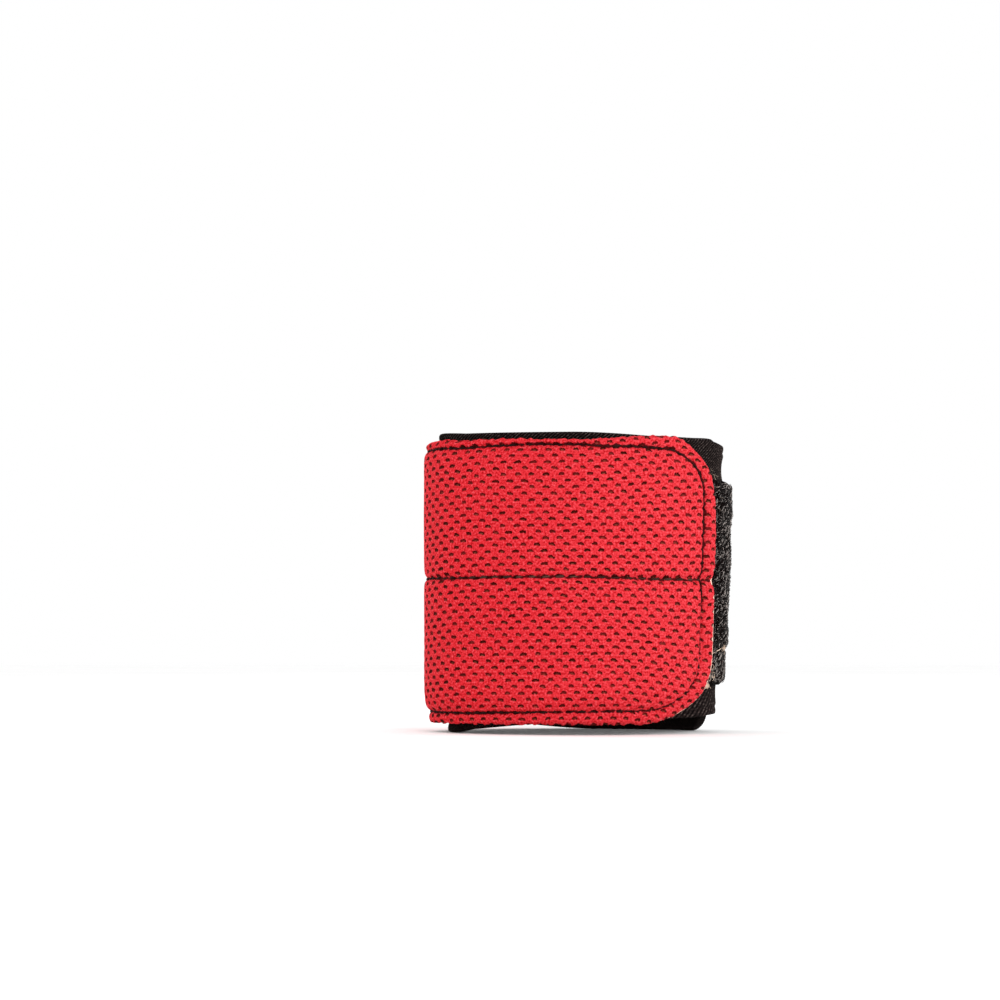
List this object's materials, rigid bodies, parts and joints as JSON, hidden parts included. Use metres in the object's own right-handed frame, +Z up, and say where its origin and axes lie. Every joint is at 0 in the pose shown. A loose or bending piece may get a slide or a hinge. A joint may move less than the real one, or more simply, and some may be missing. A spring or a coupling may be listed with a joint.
{
  "type": "wrist wrap",
  "caption": "Soft wrist support: a two-turn black elastic band closed by a padded red mesh flap over hook and loop patches, standing on its lower edge as an open cuff.",
  "frame": {"origin": "middle of the footprint, on the plane of the band's lower edge", "axes": "+Z up along the wrist's axis, -Y out of the front where the red flap closes, +X towards the side with the bare loop patch"},
  "size_m": [0.0724, 0.0544, 0.0695],
  "materials": {
    "elastic": "ribbed knit elastic",
    "loop_pile": "fuzzy loop pile",
    "hook_tape": "plain hook tape",
    "red_mesh": "two-tone knitted mesh over padding"
  },
  "bodies": {
    "root": {"elastic_band": "elastic", "loop_patch": "loop_pile", "hook_patch": "hook_tape", "mesh_flap": "red_mesh"}
  },
  "joints": []
}
